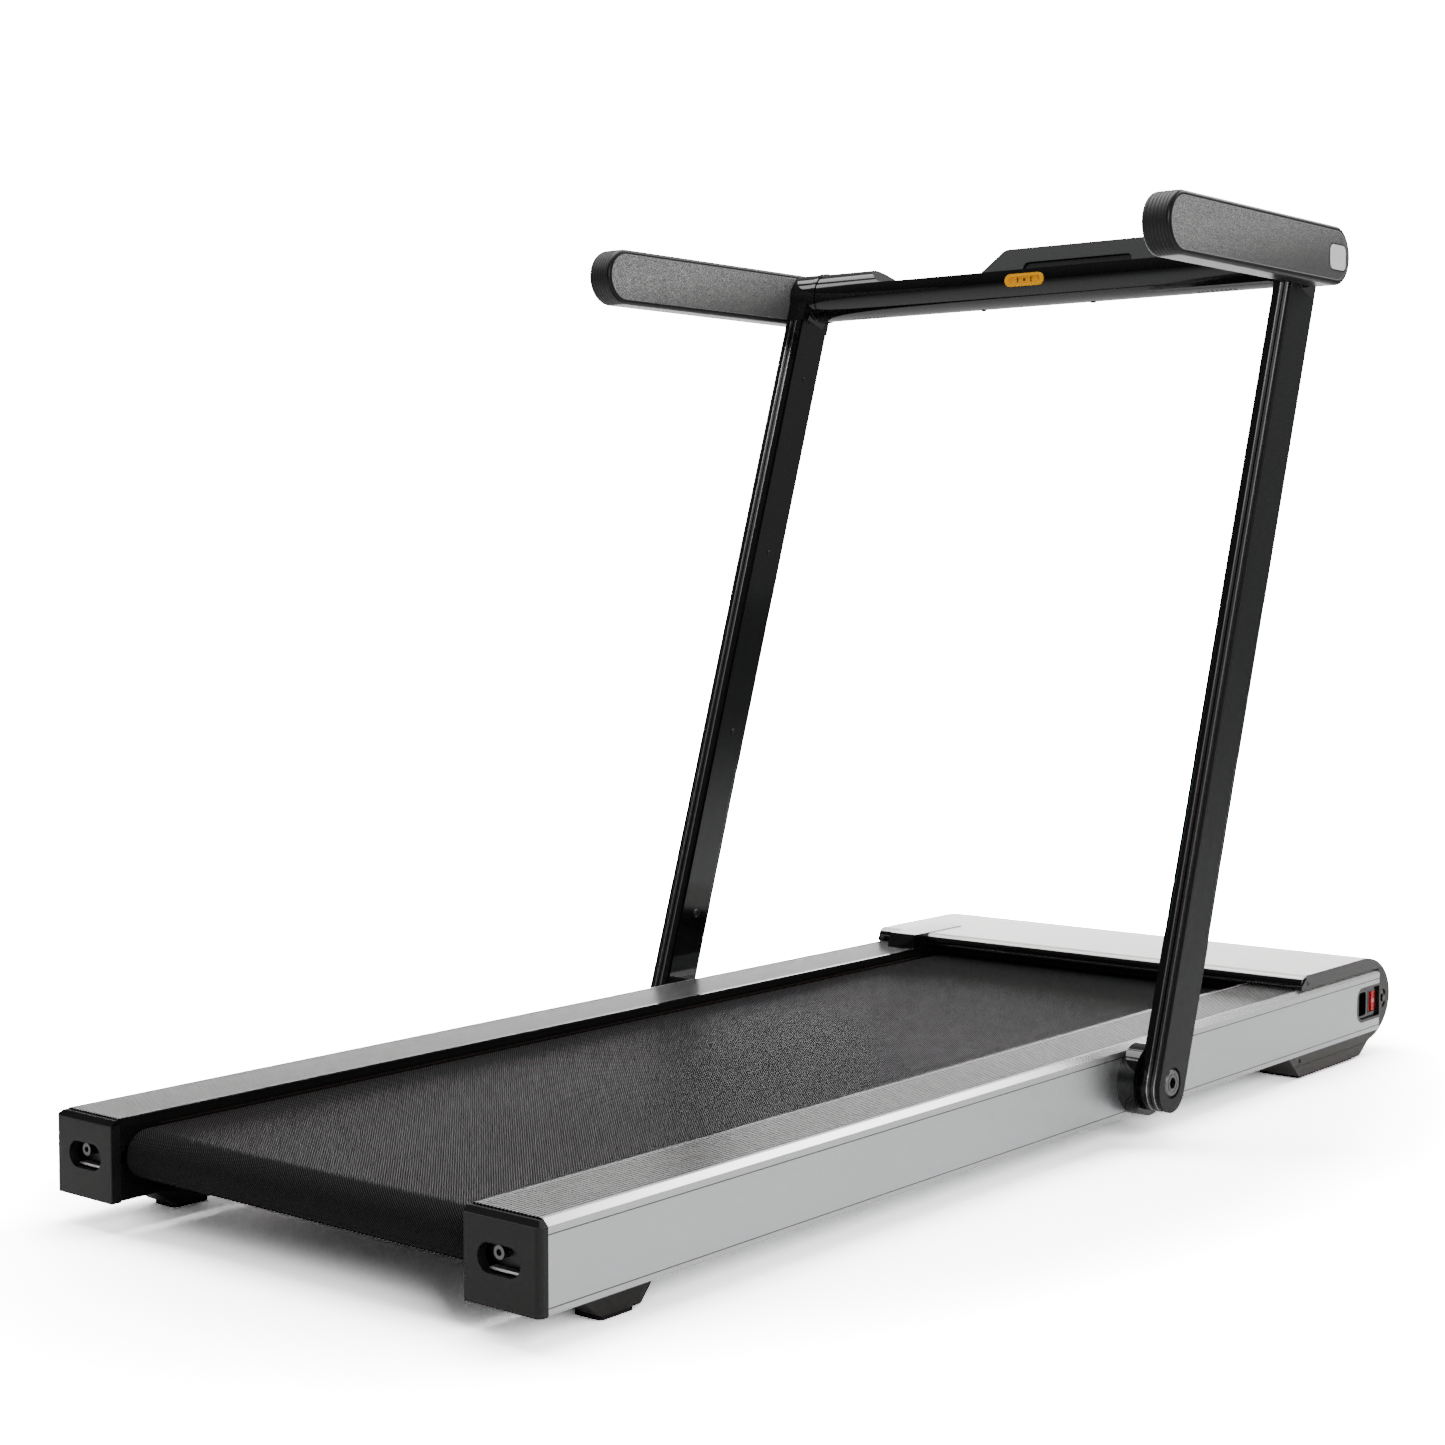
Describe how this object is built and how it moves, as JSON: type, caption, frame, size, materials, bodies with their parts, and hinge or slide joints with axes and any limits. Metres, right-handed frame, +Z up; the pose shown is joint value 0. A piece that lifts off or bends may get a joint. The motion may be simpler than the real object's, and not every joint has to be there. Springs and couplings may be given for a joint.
{
  "type": "folding treadmill",
  "caption": "Slim motorised treadmill with aluminium side rails, leaning posts, a round console bar with tablet tray, and folding handrails.",
  "frame": {"origin": "on the floor, in the middle of the machine's overall length and width", "axes": "+X to the walker's right, +Y from the rear roller towards the motor, +Z up"},
  "size_m": [0.7512, 1.503, 0.9738],
  "materials": {
    "rail_metal": "satin anodised extrusion",
    "cap_plastic": "charcoal moulding",
    "steel": "bright steel",
    "dark_steel": "black painted steel",
    "belt_rubber": "black walking belt with a fine diamond weave",
    "deck_wood": "waxed fibreboard",
    "rubber": "black rubber",
    "cover_paint": "pale warm grey satin",
    "gloss_black": "piano black",
    "nose_plastic": "warm dark grey moulding",
    "post_metal": "satin silver extrusion",
    "post_paint": "matt charcoal",
    "grip_plastic": "soft black moulding",
    "grip_trim": "speckled grey panels and a black rubber end band",
    "tray_plastic": "dark grey moulding",
    "display_glass": "black touch window",
    "key_plastic": "amber",
    "switch_red": "red rocker",
    "circuit": "green circuit board",
    "heat_metal": "black and bright components",
    "bronze": "sintered bronze",
    "motor_paint": "black motor paint"
  },
  "bodies": {
    "deck_frame": {"rail_right": "rail_metal", "rail_left": "rail_metal", "rear_caps": "cap_plastic", "take_up_plates": "steel", "roller_axles": "steel", "walking_belt": "belt_rubber", "deck_board": "deck_wood", "deck_cushions": "rubber", "cross_members": "dark_steel", "feet": "nose_plastic", "foot_pads": "rubber", "wheel_forks": "steel", "cover_plate": "cover_paint", "cover_apron": "gloss_black", "nose_shell": "nose_plastic", "end_cap_right": "nose_plastic", "end_cap_left": "nose_plastic", "receiver_pod": "gloss_black", "belly_pan": "dark_steel", "motor_case": "motor_paint", "drive_belt": "rubber", "control_board": "circuit", "board_parts": "heat_metal", "inlet_module": "gloss_black", "pivot_bosses": "gloss_black", "pivot_blocks": "steel", "pivot_bolts": "steel"},
    "front_roller_set": {"front_roller": "dark_steel", "front_bearings": "steel", "roller_pulley": "dark_steel"},
    "rear_roller_set": {"rear_roller": "dark_steel", "rear_bearings": "steel"},
    "motor_rotor": {"motor_shaft": "steel", "flywheel": "steel", "motor_pulley": "steel"},
    "take_up_right": {"take_up_bolt_right": "steel"},
    "take_up_left": {"take_up_bolt_left": "steel"},
    "transport_wheel_right": {"wheel_right": "rubber"},
    "transport_wheel_left": {"wheel_left": "rubber"},
    "power_switch": {"power_rocker": "switch_red"},
    "reset_button": {"breaker_button": "gloss_black"},
    "post_frame": {"post_covers": "gloss_black", "post_cores": "post_metal", "post_bushes": "bronze", "post_faces": "post_paint", "post_heads": "gloss_black", "hinge_pins": "steel", "console_shell": "gloss_black", "console_collars": "gloss_black", "display_panel": "display_glass", "console_electronics": "circuit", "frame_screws": "dark_steel", "tablet_tray": "tray_plastic"},
    "magnetic_key": {"safety_key": "key_plastic"},
    "handrail_right": {"handrail_core_right": "grip_plastic", "handrail_spine_right": "steel", "grip_trim_right": "grip_trim"},
    "handrail_left": {"handrail_core_left": "grip_plastic", "handrail_spine_left": "steel", "grip_trim_left": "grip_trim"}
  },
  "joints": [
    {"name": "post_fold", "type": "hinge", "parent": "deck_frame", "child": "post_frame", "pos_m": [0, 0.133, 0.065], "axis": [1, 0, 0], "range_deg": [0, 103.5]},
    {"name": "handrail_right_fold", "type": "hinge", "parent": "post_frame", "child": "handrail_right", "pos_m": [0.36, 0.41216, 0.92061], "axis": [1, 0, 0], "range_deg": [0, 72]},
    {"name": "handrail_left_fold", "type": "hinge", "parent": "post_frame", "child": "handrail_left", "pos_m": [-0.36, 0.41216, 0.92061], "axis": [1, 0, 0], "range_deg": [0, 72]},
    {"name": "motor_spin", "type": "hinge", "parent": "deck_frame", "child": "motor_rotor", "pos_m": [0.12, 0.6585, 0.0665], "axis": [1, 0, 0], "continuous": true},
    {"name": "front_roller_spin", "type": "hinge", "parent": "deck_frame", "child": "front_roller_set", "pos_m": [0, 0.5505, 0.069], "axis": [1, 0, 0], "continuous": true},
    {"name": "rear_roller_spin", "type": "hinge", "parent": "deck_frame", "child": "rear_roller_set", "pos_m": [0, -0.72, 0.069], "axis": [1, 0, 0], "continuous": true},
    {"name": "take_up_right_turn", "type": "hinge", "parent": "deck_frame", "child": "take_up_right", "pos_m": [0.2525, -0.7415, 0.069], "axis": [0, 1, 0], "continuous": true},
    {"name": "take_up_left_turn", "type": "hinge", "parent": "deck_frame", "child": "take_up_left", "pos_m": [-0.2625, -0.7415, 0.069], "axis": [0, 1, 0], "continuous": true},
    {"name": "wheel_right_spin", "type": "hinge", "parent": "deck_frame", "child": "transport_wheel_right", "pos_m": [0.198, 0.7005, 0.025], "axis": [1, 0, 0], "continuous": true},
    {"name": "wheel_left_spin", "type": "hinge", "parent": "deck_frame", "child": "transport_wheel_left", "pos_m": [-0.198, 0.7005, 0.025], "axis": [1, 0, 0], "continuous": true},
    {"name": "rocker_tip", "type": "hinge", "parent": "deck_frame", "child": "power_switch", "pos_m": [0.287, 0.7075, 0.0635], "axis": [0, 0, 1], "range_deg": [-18, 0]},
    {"name": "reset_press", "type": "slide", "parent": "deck_frame", "child": "reset_button", "axis": [-1, 0, 0], "range_m": [0, 0.0012], "stiffness_N_per_m": 800},
    {"name": "key_pull", "type": "slide", "parent": "post_frame", "child": "magnetic_key", "axis": [0, -1, 0], "range_m": [0, 0.02], "stiffness_N_per_m": 80}
  ],
  "couplings": [
    {"joint": "front_roller_spin", "follows": "motor_spin", "ratio": 0.33333},
    {"joint": "rear_roller_spin", "follows": "motor_spin", "ratio": 0.33333}
  ]
}
